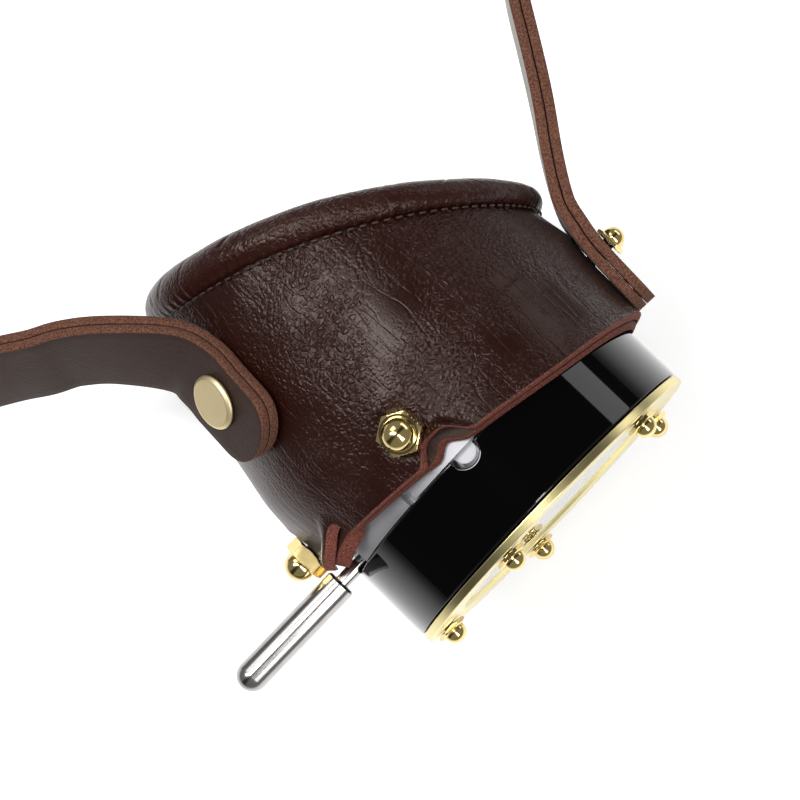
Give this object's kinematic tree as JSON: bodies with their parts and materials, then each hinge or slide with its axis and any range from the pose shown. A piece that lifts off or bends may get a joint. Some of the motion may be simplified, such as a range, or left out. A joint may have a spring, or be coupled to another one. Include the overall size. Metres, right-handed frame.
{
  "type": "steampunk monocle with iris diaphragm",
  "caption": "Steampunk monocle: leather eye cup with padded rim, black barrel, brass bezel with acorn nuts, lever-worked iris and a buckled strap.",
  "frame": {"origin": "centre of the lens's flat front face", "axes": "+Y along the optical axis towards the eye and the back of the strap, +X to the nose side, -X to the temple side with the lever, +Z to the side that faces up when it lies on a table"},
  "size_m": [0.1799, 0.2356, 0.0772],
  "materials": {
    "polished_brass": "polished, pale",
    "black_anodised": "black anodised, glossy",
    "turned_aluminium": "turned, satin",
    "polished_steel": "polished",
    "blued_steel": "blued, thin sheet",
    "clear_glass": "clear, polished",
    "brown_leather": "dark brown, glossy, fine pebbled grain",
    "lining_leather": "dark brown, smooth",
    "strap_leather": "dark brown, satin, raw red-brown edges"
  },
  "bodies": {
    "monocle": {"barrel": "black_anodised", "bezel_nut_1": "polished_brass", "bezel_nut_2": "polished_brass", "bezel_nut_3": "polished_brass", "bezel_nut_4": "polished_brass", "bezel_nut_5": "polished_brass", "bezel_ring": "polished_brass", "bezel_stud_1": "polished_steel", "bezel_stud_2": "polished_steel", "bezel_stud_3": "polished_steel", "bezel_stud_4": "polished_steel", "bezel_stud_5": "polished_steel", "buckle_bar": "polished_brass", "buckle_frame": "polished_brass", "cup_lining": "lining_leather", "cup_nut_1": "polished_brass", "cup_nut_2": "polished_brass", "cup_nut_3": "polished_brass", "cup_outer": "brown_leather", "cup_screw_1": "polished_steel", "cup_screw_2": "polished_steel", "cup_screw_3": "polished_steel", "iris_housing": "turned_aluminium", "left_strap": "strap_leather", "lens": "clear_glass", "retaining_ring": "polished_steel", "right_strap_inner": "strap_leather", "right_strap_outer": "strap_leather", "rim_roll": "brown_leather", "strap_keeper": "strap_leather", "strap_nut": "polished_brass", "strap_rivet": "polished_brass", "strap_screw": "polished_steel"},
    "iris_ring": {"cam_ring": "black_anodised", "lever_stem": "polished_steel", "lever_handle": "polished_steel"},
    "blade_1": {"iris_blade_1": "blued_steel"},
    "blade_2": {"iris_blade_2": "blued_steel"},
    "blade_3": {"iris_blade_3": "blued_steel"},
    "blade_4": {"iris_blade_4": "blued_steel"},
    "blade_5": {"iris_blade_5": "blued_steel"},
    "blade_6": {"iris_blade_6": "blued_steel"},
    "blade_7": {"iris_blade_7": "blued_steel"},
    "blade_8": {"iris_blade_8": "blued_steel"},
    "prong": {"buckle_prong": "polished_brass"}
  },
  "joints": [
    {"name": "lever_turn", "type": "hinge", "parent": "monocle", "child": "iris_ring", "pos_m": [0, 0.0178, 0], "axis": [0, -1, 0], "range_deg": [0, 56]},
    {"name": "blade_1_turn", "type": "hinge", "parent": "monocle", "child": "blade_1", "pos_m": [0.0236, 0.0108, 0], "axis": [0, -1, 0], "range_deg": [-28, 0]},
    {"name": "blade_2_turn", "type": "hinge", "parent": "monocle", "child": "blade_2", "pos_m": [0.01669, 0.01115, 0.01669], "axis": [0, -1, 0], "range_deg": [-28, 0]},
    {"name": "blade_3_turn", "type": "hinge", "parent": "monocle", "child": "blade_3", "pos_m": [0, 0.0115, 0.0236], "axis": [0, -1, 0], "range_deg": [-28, 0]},
    {"name": "blade_4_turn", "type": "hinge", "parent": "monocle", "child": "blade_4", "pos_m": [-0.01669, 0.01185, 0.01669], "axis": [0, -1, 0], "range_deg": [-28, 0]},
    {"name": "blade_5_turn", "type": "hinge", "parent": "monocle", "child": "blade_5", "pos_m": [-0.0236, 0.0122, 0], "axis": [0, -1, 0], "range_deg": [-28, 0]},
    {"name": "blade_6_turn", "type": "hinge", "parent": "monocle", "child": "blade_6", "pos_m": [-0.01669, 0.01255, -0.01669], "axis": [0, -1, 0], "range_deg": [-28, 0]},
    {"name": "blade_7_turn", "type": "hinge", "parent": "monocle", "child": "blade_7", "pos_m": [0, 0.0129, -0.0236], "axis": [0, -1, 0], "range_deg": [-28, 0]},
    {"name": "blade_8_turn", "type": "hinge", "parent": "monocle", "child": "blade_8", "pos_m": [0.01669, 0.01325, -0.01669], "axis": [0, -1, 0], "range_deg": [-28, 0]},
    {"name": "prong_lift", "type": "hinge", "parent": "monocle", "child": "prong", "pos_m": [0, 0.225, -0.02794], "axis": [0, 0, 1], "range_deg": [0, 8]}
  ],
  "couplings": [
    {"joint": "blade_1_turn", "follows": "lever_turn", "ratio": -0.5},
    {"joint": "blade_2_turn", "follows": "lever_turn", "ratio": -0.5},
    {"joint": "blade_3_turn", "follows": "lever_turn", "ratio": -0.5},
    {"joint": "blade_4_turn", "follows": "lever_turn", "ratio": -0.5},
    {"joint": "blade_5_turn", "follows": "lever_turn", "ratio": -0.5},
    {"joint": "blade_6_turn", "follows": "lever_turn", "ratio": -0.5},
    {"joint": "blade_7_turn", "follows": "lever_turn", "ratio": -0.5},
    {"joint": "blade_8_turn", "follows": "lever_turn", "ratio": -0.5}
  ]
}
